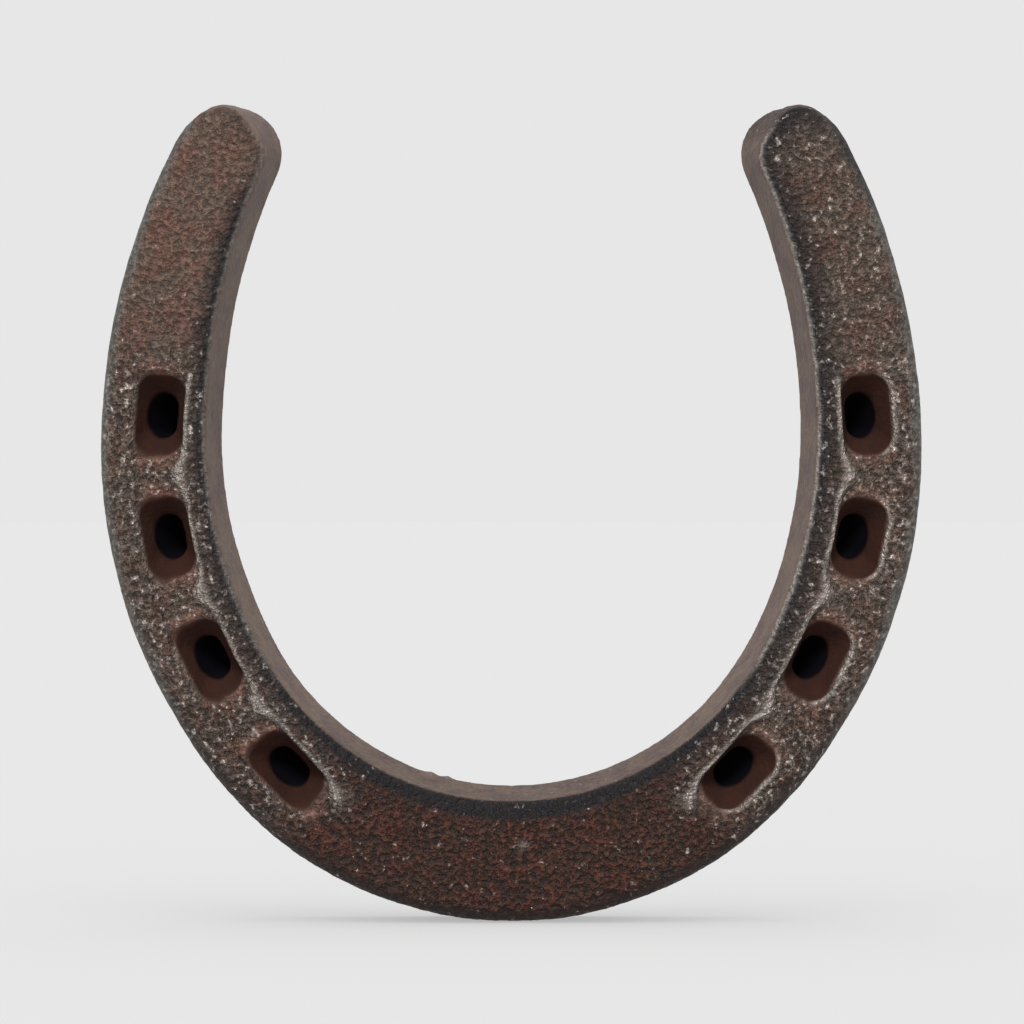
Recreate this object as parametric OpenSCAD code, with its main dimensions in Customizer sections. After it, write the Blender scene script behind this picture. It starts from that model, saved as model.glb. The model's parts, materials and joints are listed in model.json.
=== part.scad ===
// Horseshoe: one cast iron shoe, standing on its toe, ground face to the front.
// The shoe is drawn lying flat, with X across it, Y from the toe to the heels and
// Z through its thickness towards the ground face, and is then stood up.

/* [Overall size] */
// Width across the widest part of the branches
shoe_width = 125.5; // [105:0.1:151]
// Length from the toe to the tips of the heels
shoe_length = 125.1; // [104:0.1:151]
// Thickness from the hoof face to the ground face
thickness = 10; // [8:0.1:12.5]

/* [Webs] */
// Width of the iron at the toe, on the hoof face
toe_web = 20.3; // [16:0.1:25]
// Width of the iron where the branches stand widest apart, on the hoof face
side_web = 18.1; // [15:0.1:22]
// Radius of the round tip of each heel
tip_radius = 7.3; // [6.2:0.1:8.8]

/* [Outline] */
// How much the toe's outer radius falls short of half the width
toe_shortfall = 5.6; // [4.5:0.1:7]
// How far the widest point lies behind the centre of the toe's outer arc
toe_to_widest = 15.2; // [12:0.1:18.5]
// How much the toe's inner radius falls short of half the inner width
inner_toe_shortfall = 3.5; // [2.9:0.1:4.2]
// How far the widest inner point lies behind the centre of the toe's inner arc
inner_toe_to_widest = 13; // [10.5:0.1:16]
// Radius of the outer edge from the widest point towards the heel
heel_radius = 101; // [84:1:122]
// Radius of the outer shoulder of each heel tip
shoulder_radius = 11.9; // [9.9:0.1:14.5]
// How far the round tip stays inside the line of the outer edge
tip_setback = 0.9; // [0.7:0.1:1.2]

/* [Edges] */
// Radius of the rounded outer edge of the ground face
rim_round = 3; // [2:0.1:3.6]
// Chamfer along both edges of the hoof face
hoof_chamfer = 0.6; // [0.4:0.1:1]
// How much wider the inside opens from the hoof face to the ground face, on each side
wall_draft = 1.8; // [1.4:0.1:2.4]
// How much more the wall leans at the round end of each heel
tip_extra_draft = 1; // [0:0.1:1.5]
// Width of the bevel along the inner edge of the ground face
bevel_width = 1.3; // [1:0.1:1.8]
// Depth of that bevel
bevel_depth = 1.1; // [0.8:0.1:1.5]
// Width of the bevel at the middle of the toe
toe_bevel_width = 3.7; // [3:0.1:4.6]
// Depth of the bevel at the middle of the toe
toe_bevel_depth = 2; // [1.6:0.1:2.5]
// Angle to each side of the toe over which the bevel narrows to its usual width
toe_bevel_spread = 58; // [48:1:60]

/* [Nailing] */
// Nails on each branch
nails = 4; // [3:1:4]
// Distance from the outer edge to the line of the nail holes
nail_inset = 9.35; // [7.8:0.05:11]
// How far behind the widest point the rearmost nail lies, along the nail line
nail_start = 5; // [3:0.1:8]
// Distance between the two rearmost nails
nail_spacing = 18.65; // [15.5:0.05:20]
// How much each gap towards the toe is longer than the gap behind it
spacing_growth = 0.95; // [0:0.05:1.2]
// Depth of the shallow crease that links the seats
crease_depth = 0.8; // [0.5:0.1:1.2]
// Width of the crease at the ground face
crease_width = 8.8; // [7.4:0.1:10.5]
// How far the crease runs past the last seat's centre, towards the toe
crease_run = 8.8; // [7.5:0.1:10.5]

/* [Nail seats] */
// Length of a seat's mouth along the branch
seat_length = 13.4; // [11.2:0.1:16]
// Width of a seat's mouth
seat_width = 8.2; // [6.8:0.1:9.8]
// Radius of the corners of a seat's mouth
seat_corner = 2.3; // [1.9:0.1:2.8]
// Depth of a seat, from the ground face to the hole
seat_depth = 3.2; // [2.6:0.1:3.9]
// How far the left branch's seats lean outwards from their holes
left_lean = 0.2; // [0:0.05:0.6]
// How far the right branch's seats lean outwards from their holes
right_lean = 0.95; // [0.6:0.05:1.2]

/* [Nail holes] */
// Width of a hole where it leaves its seat
hole_width = 4.6; // [3.8:0.1:5.5]
// Length of a hole where it leaves its seat
hole_length = 7; // [5.9:0.1:8.4]
// Width of a hole where it comes out of the hoof face
exit_width = 2.4; // [2:0.1:3.2]
// Angle by which the holes lean towards the middle of the shoe
hole_pitch = 28; // [18:1:30]

/* [Hidden] */
$fn = 64;
iron = "#5a463c";

half_width = shoe_width / 2;
ground_face = thickness / 2;
hoof_face = -thickness / 2;

// Outer outline: toe arc, side arc, heel arc, shoulder arc and tip arc, each tangent to the next
toe_radius = half_width - toe_shortfall;
toe_centre = [0, toe_radius];
widest = toe_radius + toe_to_widest;
side_radius = side_arc_radius(half_width, toe_radius, toe_to_widest);
side_centre = [half_width - side_radius, widest];
heel_centre = [half_width - heel_radius, widest];
toe_join = heading(side_centre, toe_centre);

// Tip of the heel: a circle of tip_radius set inside the heel arc, its top at the full length
tip_reach = heel_radius - tip_radius - tip_setback;
tip_y = shoe_length - tip_radius;
tip_centre = [heel_centre.x + sqrt(tip_reach ^ 2 - (tip_y - widest) ^ 2), tip_y];
shoulder_centre = circles_meet(
    heel_centre, heel_radius - shoulder_radius,
    tip_centre, shoulder_radius - tip_radius
);
shoulder_join = heading(heel_centre, shoulder_centre);
tip_join = heading(shoulder_centre, tip_centre);

// Inner outline on the hoof face: toe arc, side arc and heel arc, which touches the tip
inner_half = half_width - side_web;
inner_toe_radius = inner_half - inner_toe_shortfall;
inner_toe_centre = [0, toe_web + inner_toe_radius];
inner_widest = inner_toe_centre.y + inner_toe_to_widest;
inner_side_radius = side_arc_radius(inner_half, inner_toe_radius, inner_toe_to_widest);
inner_side_centre = [inner_half - inner_side_radius, inner_widest];
inner_toe_join = heading(inner_side_centre, inner_toe_centre);
tip_across = tip_centre.x - inner_half;
tip_along = tip_y - inner_widest;
inner_heel_radius =
    (tip_across ^ 2 + tip_along ^ 2 - tip_radius ^ 2) / (2 * (tip_radius - tip_across));
inner_heel_centre = [inner_half - inner_heel_radius, inner_widest];
inner_tip_join = heading(inner_heel_centre, tip_centre);
tip_end = 180 + inner_tip_join;

// Steps along each arc. The outer and the inner edge have as many, so that they pair across the web
toe_steps = 14;
side_steps = 14;
heel_steps = 10;
shoulder_steps = 3;
tip_steps = 10;
round_steps = 4;
apex = toe_steps + side_steps + heel_steps + shoulder_steps + tip_steps / 2;

// Nail line: the side arc and the toe arc, set in by nail_inset
nail_side_radius = side_radius - nail_inset;
nail_toe_radius = toe_radius - nail_inset;
nail_side_run = nail_side_radius * to_radians(-toe_join);
crease_steps = 28;
crease_end_steps = 8;

// Slack by which cutting tools run past the faces, and by which a seat reaches into its hole
past_face = 1;
into_hole = 0.3;
corner_steps = 8;

// Radius of an arc that is upright at the widest point and tangent to the toe arc
function side_arc_radius(half, toe_r, rise) =
    (half ^ 2 + rise ^ 2 - toe_r ^ 2) / (2 * (half - toe_r));

// Angle of the line from one point to another
function heading(from, to) = atan2(to.y - from.y, to.x - from.x);

// Unit vector at an angle
function direction(angle) = [cos(angle), sin(angle)];

function to_radians(angle) = angle * PI / 180;
function to_degrees(turn) = turn * 180 / PI;
function blend(from, to, share) = from + (to - from) * share;
function ease(share) = share * share * (3 - 2 * share);

// Where two circles meet, on the right-hand side of the line from the first to the second
function circles_meet(first, first_r, second, second_r) =
    let (
        gap = norm(second - first),
        along = (first_r ^ 2 - second_r ^ 2 + gap ^ 2) / (2 * gap),
        aside = sqrt(first_r ^ 2 - along ^ 2),
        ahead = (second - first) / gap
    )
    first + along * ahead + aside * [ahead.y, -ahead.x];

// Section of the wall as [inset, height] steps, from the hoof face up to the ground face.
// On the outer edge the wall is upright and then rounds over into the ground face.
function outer_section() = [
    [hoof_chamfer, hoof_face],
    [0, hoof_face + hoof_chamfer],
    for (step = [0 : round_steps])
        let (angle = 90 * step / round_steps)
        [rim_round * (1 - cos(angle)), ground_face - rim_round * (1 - sin(angle))]
];

// On the inner edge it leans back by the draft and ends in a bevel
function inner_section(draft, bevel_w, bevel_d) = [
    [hoof_chamfer, hoof_face],
    [0, hoof_face + hoof_chamfer],
    [draft / 2, -bevel_d / 2],
    [draft, ground_face - bevel_d],
    [draft + bevel_w * 0.2, ground_face - bevel_d * 0.6],
    [draft + bevel_w * 0.6, ground_face - bevel_d * 0.2],
    [draft + bevel_w, ground_face]
];

// Points of an edge along an arc, the last one left to the next arc. Each holds its place,
// the way out of the iron there, and the section that the wall follows
function outer_edge(centre, radius, from, to, steps) = [
    for (step = [0 : steps - 1])
        let (angle = blend(from, to, step / steps))
        [centre + radius * direction(angle), direction(angle), outer_section()]
];

function inner_edge(centre, radius, from, to, steps) = [
    for (step = [0 : steps - 1])
        let (angle = blend(from, to, step / steps))
        [
            centre + radius * direction(angle),
            -direction(angle),
            inner_section(wall_draft, bevel_width, bevel_depth)
        ]
];

// Round the tip the wall turns from the outer section into the inner one, and leans a little more
function tip_edge() = [
    for (step = [0 : tip_steps - 1])
        let (
            share = step / tip_steps,
            angle = blend(tip_join, tip_end, share),
            lean = wall_draft + tip_extra_draft * sin(180 * share),
            inner = inner_section(lean, bevel_width, bevel_depth)
        )
        [
            tip_centre + tip_radius * direction(angle),
            direction(angle),
            blend(outer_section(), inner, ease(min(1, 2 * share)))
        ]
];

// Across the toe the bevel grows to its full width
function toe_bevel_edge() = [
    for (step = [0 : toe_steps])
        let (
            angle = blend(inner_toe_join, -90, step / toe_steps),
            share = ease(max(0, 1 - (angle + 90) / toe_bevel_spread))
        )
        [
            inner_toe_centre + inner_toe_radius * direction(angle),
            -direction(angle),
            inner_section(
                wall_draft,
                blend(bevel_width, toe_bevel_width, share),
                blend(bevel_depth, toe_bevel_depth, share)
            )
        ]
];

// The right half of the shoe's edge: from the toe round the outside to the tip, and back inside
half_edge = concat(
    outer_edge(toe_centre, toe_radius, -90, toe_join, toe_steps),
    outer_edge(side_centre, side_radius, toe_join, 0, side_steps),
    outer_edge(heel_centre, heel_radius, 0, shoulder_join, heel_steps),
    outer_edge(shoulder_centre, shoulder_radius, shoulder_join, tip_join, shoulder_steps),
    tip_edge(),
    inner_edge(inner_heel_centre, inner_heel_radius, inner_tip_join, 0, heel_steps + shoulder_steps),
    inner_edge(inner_side_centre, inner_side_radius, 0, inner_toe_join, side_steps),
    toe_bevel_edge()
);

// A point of the edge on one level of its section, with its X turned for the left half
function edge_point(edge, level, hand) =
    let (
        section = edge[2][level],
        place = edge[0] - edge[1] * section[0]
    )
    [hand * place.x, place.y, section[1]];

// One level of the whole shoe: from the left tip round the outside to the right tip, and back
function shoe_loop(level) = [
    for (i = [apex : -1 : 1]) edge_point(half_edge[i], level, -1),
    for (i = [0 : 2 * apex]) edge_point(half_edge[i], level, 1),
    for (i = [2 * apex - 1 : -1 : apex + 1]) edge_point(half_edge[i], level, -1)
];

// Distance of a nail along the nail line, measured from the widest point towards the toe
function nail_station(index) =
    index * nail_spacing + spacing_growth * index * (index - 1) / 2 - nail_start;

// Angle of the nail line's outward side at a distance along it
function nail_angle(station) =
    station < nail_side_run
    ? -to_degrees(station / nail_side_radius)
    : toe_join - to_degrees((station - nail_side_run) / nail_toe_radius);

// Point of the nail line at a distance along it
function nail_point(station) =
    station < nail_side_run
    ? side_centre + nail_side_radius * direction(nail_angle(station))
    : toe_centre + nail_toe_radius * direction(nail_angle(station));

// A point beside the nail line, at a distance and an angle from its outward side
function beside_nail_line(station, half, turn, height) =
    [each nail_point(station) + half * direction(nail_angle(station) + turn), height];

// Outline of the crease at a height: its middle follows the nail line, and both its ends are round.
// It runs from the heel end down the inner side, round the toe end and back up the outer side
function crease_loop(half, height) =
    let (
        first = nail_station(0),
        last = nail_station(nails - 1) + crease_run - crease_width / 2,
        turn = 180 / crease_end_steps
    )
    [
        for (step = [crease_end_steps / 2 : crease_end_steps - 1])
            beside_nail_line(first, half, step * turn, height),
        for (step = [0 : crease_steps])
            beside_nail_line(blend(first, last, step / crease_steps), half, 180, height),
        for (step = [1 : crease_end_steps - 1])
            beside_nail_line(last, half, 180 + step * turn, height),
        for (step = [crease_steps : -1 : 0])
            beside_nail_line(blend(first, last, step / crease_steps), half, 0, height),
        for (step = [1 : crease_end_steps / 2 - 1])
            beside_nail_line(first, half, step * turn, height)
    ];

// Outline of a rectangle with round corners, at a height
function rounded_loop(half_w, half_l, corner, shift, height) = [
    for (quarter = [0 : 3], step = [0 : corner_steps - 1])
        let (
            angle = 90 * (quarter + (step + 0.5) / corner_steps),
            side_x = (quarter == 0 || quarter == 3) ? 1 : -1,
            side_y = quarter < 2 ? 1 : -1
        )
        [
            shift + side_x * (half_w - corner) + corner * cos(angle),
            side_y * (half_l - corner) + corner * sin(angle),
            height
        ]
];

// Solid through a stack of loops, the lowest first. Each loop runs from one end of its shape
// along one side to the other end and back, so that its two sides pair across the shape
module ribbon(loops) {
    count = len(loops[0]);
    top = (len(loops) - 1) * count;
    polyhedron(
        points = [for (loop = loops) each loop],
        faces = [
            for (i = [0 : count / 2 - 2]) [i, i + 1, count - i - 1],
            for (i = [1 : count / 2 - 1]) [i, count - i - 1, count - i],
            for (i = [0 : count / 2 - 2]) [top + count - i - 1, top + i + 1, top + i],
            for (i = [1 : count / 2 - 1]) [top + count - i, top + count - i - 1, top + i],
            for (low = [0 : count : top - count], i = [0 : count - 1])
                let (next = (i + 1) % count, high = low + count)
                each [
                    [low + i, high + i, high + next],
                    [low + i, high + next, low + next]
                ]
        ]
    );
}

// The plain shoe, before nailing
module blank() {
    ribbon([for (level = [0 : round_steps + 2]) shoe_loop(level)]);
}

// The shallow crease that links the seats of one branch
module crease() {
    floor_half = (crease_width - crease_depth) / 2;
    mouth_half = (crease_width + past_face) / 2;
    ribbon([
        crease_loop(floor_half, ground_face - crease_depth),
        crease_loop(mouth_half, ground_face + past_face)
    ]);
}

// The dished seat for a nail's head, leaning outwards, drawn about its hole
module nail_seat(lean) {
    bottom_w = hole_width / 2 - into_hole;
    bottom_l = hole_length / 2 - into_hole;
    mouth_w = seat_width / 2;
    mouth_l = seat_length / 2;
    flare = 1 + past_face / seat_depth;
    ribbon([
        rounded_loop(bottom_w, bottom_l, bottom_w, 0, ground_face - seat_depth - into_hole),
        rounded_loop(mouth_w, mouth_l, seat_corner, lean, ground_face),
        rounded_loop(
            blend(bottom_w, mouth_w, flare),
            blend(bottom_l, mouth_l, flare),
            seat_corner,
            flare * lean,
            ground_face + past_face
        )
    ]);
}

// The leaning, tapered slot from a seat to the hoof face, drawn about its mouth
module nail_hole() {
    mouth_r = hole_width / 2 * cos(hole_pitch);
    exit_r = exit_width / 2 * cos(hole_pitch);
    half_gap = hole_length / 2 - mouth_r;
    depth = (thickness - seat_depth) / cos(hole_pitch);
    taper = (mouth_r - exit_r) / depth;
    run = depth + 2 * past_face;
    low_r = exit_r - taper * past_face;
    high_r = mouth_r + taper * past_face;
    translate([0, 0, ground_face - seat_depth])
        rotate([0, hole_pitch, 0])
            translate([0, 0, past_face - run]) {
                for (end = [-1, 1])
                    translate([0, end * half_gap, 0])
                        cylinder(h = run, r1 = low_r, r2 = high_r);
                rotate([90, 0, 0])
                    translate([0, 0, -half_gap])
                        linear_extrude(2 * half_gap)
                            polygon([[-low_r, 0], [low_r, 0], [high_r, run], [-high_r, run]]);
            }
}

// Puts its child at every nail of the right branch, turned outwards
module at_nails() {
    for (index = [0 : nails - 1]) {
        station = nail_station(index);
        place = nail_point(station);
        translate([place.x, place.y, 0])
            rotate([0, 0, nail_angle(station)])
                children();
    }
}

module both_creases() {
    crease();
    mirror([1, 0, 0])
        crease();
}

module all_seats() {
    at_nails()
        nail_seat(right_lean);
    mirror([1, 0, 0])
        at_nails()
            nail_seat(left_lean);
}

module all_holes() {
    at_nails()
        nail_hole();
    mirror([1, 0, 0])
        at_nails()
            nail_hole();
}

// The creases are cut first, then the seats in them, and then the holes in the seats
module shoe() {
    color(iron)
        rotate([90, 0, 0])
            difference() {
                difference() {
                    difference() {
                        blank();
                        both_creases();
                    }
                    all_seats();
                }
                all_holes();
            }
}

shoe();
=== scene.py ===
"""Looks of an antique cast iron horseshoe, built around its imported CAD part.

The shoe stands upright on its toe. X runs across it, Z from the toe up to the heels, and Y from the
ground face, which has the nail holes' wide mouths, to the hoof face. Every length is in metres.
"""

import json
import logging
import math
from dataclasses import dataclass, field
from enum import Enum
from typing import Any

import bpy
import numpy as np
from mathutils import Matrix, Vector, kdtree, noise


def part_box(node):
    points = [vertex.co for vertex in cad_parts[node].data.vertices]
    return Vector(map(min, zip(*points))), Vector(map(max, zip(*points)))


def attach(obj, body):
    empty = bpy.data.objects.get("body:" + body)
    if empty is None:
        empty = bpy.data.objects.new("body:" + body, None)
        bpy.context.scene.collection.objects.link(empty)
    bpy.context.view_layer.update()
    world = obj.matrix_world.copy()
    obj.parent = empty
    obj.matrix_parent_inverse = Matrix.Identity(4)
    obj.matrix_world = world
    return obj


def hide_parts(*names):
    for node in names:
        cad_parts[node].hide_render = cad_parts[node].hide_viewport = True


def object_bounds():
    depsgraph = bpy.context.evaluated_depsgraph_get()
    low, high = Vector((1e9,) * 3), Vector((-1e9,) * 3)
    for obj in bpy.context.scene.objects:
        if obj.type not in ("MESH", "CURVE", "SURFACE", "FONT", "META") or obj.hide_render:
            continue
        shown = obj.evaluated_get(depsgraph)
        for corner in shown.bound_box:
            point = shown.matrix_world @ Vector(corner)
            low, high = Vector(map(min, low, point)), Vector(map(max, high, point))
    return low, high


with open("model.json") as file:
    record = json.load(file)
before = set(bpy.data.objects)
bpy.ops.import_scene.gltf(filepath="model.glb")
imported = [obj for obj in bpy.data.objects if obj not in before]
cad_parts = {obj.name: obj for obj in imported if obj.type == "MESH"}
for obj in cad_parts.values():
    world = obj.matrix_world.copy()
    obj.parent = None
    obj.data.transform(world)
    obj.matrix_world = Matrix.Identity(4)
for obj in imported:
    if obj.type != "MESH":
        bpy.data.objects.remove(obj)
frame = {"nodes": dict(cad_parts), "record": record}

MM = 0.001
TINY = 1e-9
CAD_NODE = "shoe"
CAD_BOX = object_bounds()

logging.basicConfig(level=logging.INFO, format="%(message)s")
log = logging.getLogger("horseshoe")


class Side(Enum):
    """The shoe's two branches, by the words that the record's nail hole mounts have for them."""

    LEFT = "left"
    RIGHT = "right"


class Mask(Enum):
    """The regions of the casting, each stored on the mesh as a number from 0 to 1 at every point."""

    POCKET = "pocket"
    BORE = "bore"
    WALL = "inner_wall"
    # The bevel's blue-black, which also carries painted shade beside the inner wall, on the toe's outer
    # edge and on the inner wall.
    BEVEL = "bevel"
    RIM = "outer_rim"
    BLOOM = "rust_bloom"
    # Painted shade where the surface dips, and painted shadow lines beside the creases.
    CREVICE_SHADE = "pit"
    TOE = "toe"
    # Rubbed iron, which also takes more painted glints.
    BURNISH_AND_GLINT = "burnish"
    # Painted highlight along the lips, the inner wall's edge and the blemishes.
    EDGE = "bright_edge"


def linear(hex_colour: str) -> tuple[float, float, float, float]:
    """Turns an sRGB hex colour into the linear colour that shaders take.

    Args:
        hex_colour: A colour such as "#5a463c".

    Returns:
        Linear red, green, blue and an alpha of 1.
    """
    parts = [int(hex_colour[i : i + 2], 16) / 255 for i in (1, 3, 5)]
    curve = [c / 12.92 if c <= 0.04045 else ((c + 0.055) / 1.055) ** 2.4 for c in parts]
    return (*curve, 1.0)


def bell(offset: np.ndarray) -> np.ndarray:
    """Gives 1 where the offset is 0, falling to almost 0 where it is 2 either way."""
    return np.exp(-offset * offset)


@dataclass(frozen=True)
class Ramp:
    """A range of numbers over which something fades in: none of it at start, all of it at end."""

    start: float
    end: float

    def __call__(self, values: np.ndarray) -> np.ndarray:
        """Goes smoothly from 0 where values reach start to 1 where they reach end."""
        share = np.clip((values - self.start) / (self.end - self.start), 0.0, 1.0)
        return share * share * (3.0 - 2.0 * share)

    def inputs(self, source: Any) -> dict[str, Any]:
        """Gives the ramp's settings for a map range node, for the numbers of a socket."""
        return {"Value": source, "From Min": self.start, "From Max": self.end}


@dataclass(frozen=True)
class Wobble:
    """Soft repeatable noise that makes a surface wavy or an edge ragged."""

    size: float
    patch: float
    seed: int
    seed_step: float = 17.3

    def at(self, points: np.ndarray) -> np.ndarray:
        """Reads the noise."""
        placed = points / self.patch + self.seed * self.seed_step
        return self.size * np.array([noise.noise(Vector(p)) for p in placed])


@dataclass(frozen=True)
class SandGrains:
    """Round grains packed side by side, as the mould's sand leaves them on a casting."""

    height: float = 0.16 * MM
    width: float = 0.85 * MM
    crown: float = 1.15
    slope: float = 1.3
    seed: int = 7
    seed_step: float = 11.7

    def at(self, points: np.ndarray) -> np.ndarray:
        """Reads the grains.

        Args:
            points: Places in metres, one row each.

        Returns:
            How far each point stands out, from half a grain down in the gaps to half a grain up.
        """
        placed = points / self.width + self.seed * self.seed_step
        nearest = np.array([noise.voronoi(Vector(p))[0][0] for p in placed])
        return self.height * (np.clip(self.crown - self.slope * nearest, 0.0, 1.0) - 0.5)


@dataclass
class NailLine:
    """The line of four nail holes down one branch, read from the record's nail hole mounts.

    The branch's seats lean outward from their holes and flare on their outer side. Its crease has an
    inner edge, which lies nearer the line on the saddles, raised lips along both sides of the seats, which
    also take painted highlight, and a thin line of painted shadow along its outer side.
    """

    side: Side
    lean: float
    flare: float
    # How dark the painted shadow line along the crease's outer side is.
    groove_shadow: float
    crease_edge: float
    saddle_edge: float
    # How high the lips stand, and by the same share how much painted highlight they take.
    inner_lip: float
    outer_lip: float
    holes: np.ndarray = field(init=False)
    turns: np.ndarray = field(init=False)
    sign: float = field(init=False)
    stations: np.ndarray = field(init=False)
    length: float = field(init=False)
    overrun: float = 12 * MM
    samples_per_gap: int = 24
    ramp: float = 8.6 * MM
    saddle_reach: float = 2.3 * MM

    def __post_init__(self) -> None:
        """Reads the holes' places and works out how the line turns at each of them."""
        mounts = {m["name"]: m for m in frame["record"]["mounts"]}
        names = sorted(n for n in mounts if n.startswith(f"nail_hole_{self.side.value}_"))
        places = [mounts[n]["pos_m"] for n in names]
        self.holes = np.array([(p[0], p[2]) for p in places], float)
        self.sign = math.copysign(1.0, float(self.holes[0, 0]))
        steps = np.diff(self.holes, axis=0)
        self.stations = np.concatenate([[0.0], np.cumsum(np.linalg.norm(steps, axis=1))])
        self.length = float(self.stations[-1])
        chords = np.arctan2(steps[:, 0], -steps[:, 1])
        bends = np.diff(chords)
        first = chords[0] - bends[0] / 2
        last = chords[-1] + bends[-1] / 2
        self.turns = np.concatenate([[first], (chords[:-1] + chords[1:]) / 2, [last]])

    def own(self, x: np.ndarray) -> np.ndarray:
        """Tells which points lie on the line's own side of the shoe."""
        return x * self.sign > 0

    def curve(self) -> tuple[np.ndarray, np.ndarray]:
        """Follows the line past its end holes.

        Returns:
            Points (x, z) on the line, and the distance along it of each, from 0 at the first hole.
        """
        heads = np.stack([np.sin(self.turns), -np.cos(self.turns)], axis=1)
        points, travel = [self.holes[0] - heads[0] * self.overrun], [-self.overrun]
        gone = 0.0
        for i in range(len(self.holes) - 1):
            gap = float(np.linalg.norm(self.holes[i + 1] - self.holes[i]))
            for t in np.arange(self.samples_per_gap) / self.samples_per_gap:
                a, b = 2 * t**3 - 3 * t**2 + 1, t**3 - 2 * t**2 + t
                c, d = 3 * t**2 - 2 * t**3, t**3 - t**2
                place = a * self.holes[i] + c * self.holes[i + 1]
                points.append(place + gap * (b * heads[i] + d * heads[i + 1]))
                travel.append(gone + t * gap)
            gone += gap
        points += [self.holes[-1], self.holes[-1] + heads[-1] * self.overrun]
        travel += [gone, gone + self.overrun]
        return np.array(points), np.array(travel)

    def locate(self, x: np.ndarray, z: np.ndarray) -> tuple[np.ndarray, np.ndarray]:
        """Places points by the nail line.

        Args:
            x: The points' places across the shoe.
            z: The points' places up the shoe.

        Returns:
            Distance along the line from its first hole, and distance outward from the line.
        """
        line, travel = self.curve()
        along = np.zeros(len(x))
        across = np.zeros(len(x))
        best = np.full(len(x), np.inf)
        for start, end, gone in zip(line[:-1], line[1:], travel[:-1]):
            step = end - start
            length = float(np.linalg.norm(step))
            head = step / length
            dx, dz = x - start[0], z - start[1]
            t = np.clip(dx * head[0] + dz * head[1], 0.0, length)
            off_x, off_z = dx - t * head[0], dz - t * head[1]
            gap = np.hypot(off_x, off_z)
            nearer = gap < best
            best = np.where(nearer, gap, best)
            outward = np.sign(off_x * -head[1] * self.sign + off_z * head[0] * self.sign)
            along = np.where(nearer, gone + t, along)
            across = np.where(nearer, gap * outward, across)
        return along, across

    def about(self, hole: int, x: np.ndarray, z: np.ndarray) -> tuple[np.ndarray, np.ndarray]:
        """Places points about one nail hole.

        Args:
            hole: The hole's number, from 0 at the heel end.
            x: The points' places across the shoe.
            z: The points' places up the shoe.

        Returns:
            Distance along the hole's long way, and distance outward from its middle.
        """
        turn = self.turns[hole]
        dx, dz = x - self.holes[hole][0], z - self.holes[hole][1]
        u = dx * math.sin(turn) - dz * math.cos(turn)
        v = (dx * math.cos(turn) + dz * math.sin(turn)) * self.sign
        return u, v

    def saddle(self, along: np.ndarray) -> np.ndarray:
        """Finds the saddles between the pockets, and the ramp at the toe end of the crease.

        Args:
            along: Distances along the line from its first hole.

        Returns:
            1 in the middle of a saddle or of the ramp, falling to 0 beside the pockets.
        """
        middles = [*(self.stations[:-1] + self.stations[1:]) / 2, self.length + self.ramp]
        near = [np.exp(-(((along - middle) / self.saddle_reach) ** 2)) for middle in middles]
        return np.max(near, axis=0)


@dataclass(frozen=True)
class Stretch:
    """A stretch of a nail line with soft ends, by how far it runs on past the first and last holes."""

    heel: Ramp
    toe: Ramp

    def share(self, line: NailLine, along: np.ndarray) -> np.ndarray:
        """Tells how far points lie within the stretch."""
        return self.heel(-along) * self.toe(along - line.length)


@dataclass(frozen=True)
class NailSeat:
    """A dished seat for a nail's head, with rounded corners, and the hole that leads on from it."""

    length: float = 13.0 * MM
    width: float = 8.2 * MM
    corner: float = 3.7 * MM
    hole_length: float = 7.2 * MM
    hole_width: float = 4.9 * MM
    flare_start: Ramp = Ramp(0, 3 * MM)
    mouth: Ramp = Ramp(0.2 * MM, -0.4 * MM)
    wall_depth: Ramp = Ramp(0.25 * MM, 0.9 * MM)
    hole_edge: Ramp = Ramp(1.06, 0.92)
    hole_depth: Ramp = Ramp(2.2 * MM, 2.9 * MM)
    bore_depth: Ramp = Ramp(3.35 * MM, 4.15 * MM)
    back_skin: float = 9.4 * MM
    halo: Ramp = Ramp(2.8 * MM, 0.2 * MM)
    halo_side: Ramp = Ramp(4.4 * MM, 2.6 * MM)
    lip_side: Ramp = Ramp(2.2 * MM, 3.6 * MM)
    lip_inset: float = 0.1 * MM
    corner_fill: Ramp = Ramp(-0.5 * MM, 0.6 * MM)
    corner_depth: float = 0.7 * MM
    fill_length: float = 8 * MM
    fill_width: float = 4.4 * MM
    fill_depth: float = 4 * MM

    def edge(self, u: np.ndarray, v: np.ndarray) -> np.ndarray:
        """Measures how far points are outside the seat's rounded outline.

        Args:
            u: Distance along the seat.
            v: Distance across the seat.

        Returns:
            Distance from the outline, below 0 inside it.
        """
        box_u = np.abs(u) - self.length / 2 + self.corner
        box_v = np.abs(v) - self.width / 2 + self.corner
        outside = np.hypot(np.maximum(box_u, 0), np.maximum(box_v, 0)) - self.corner
        return outside + np.minimum(np.maximum(box_u, box_v), 0)

    def oval(self, u: np.ndarray, v: np.ndarray) -> np.ndarray:
        """Measures how far out from the hole's middle points are, as a share of the hole's size."""
        return np.hypot(2 * u / self.hole_length, 2 * v / self.hole_width)


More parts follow.
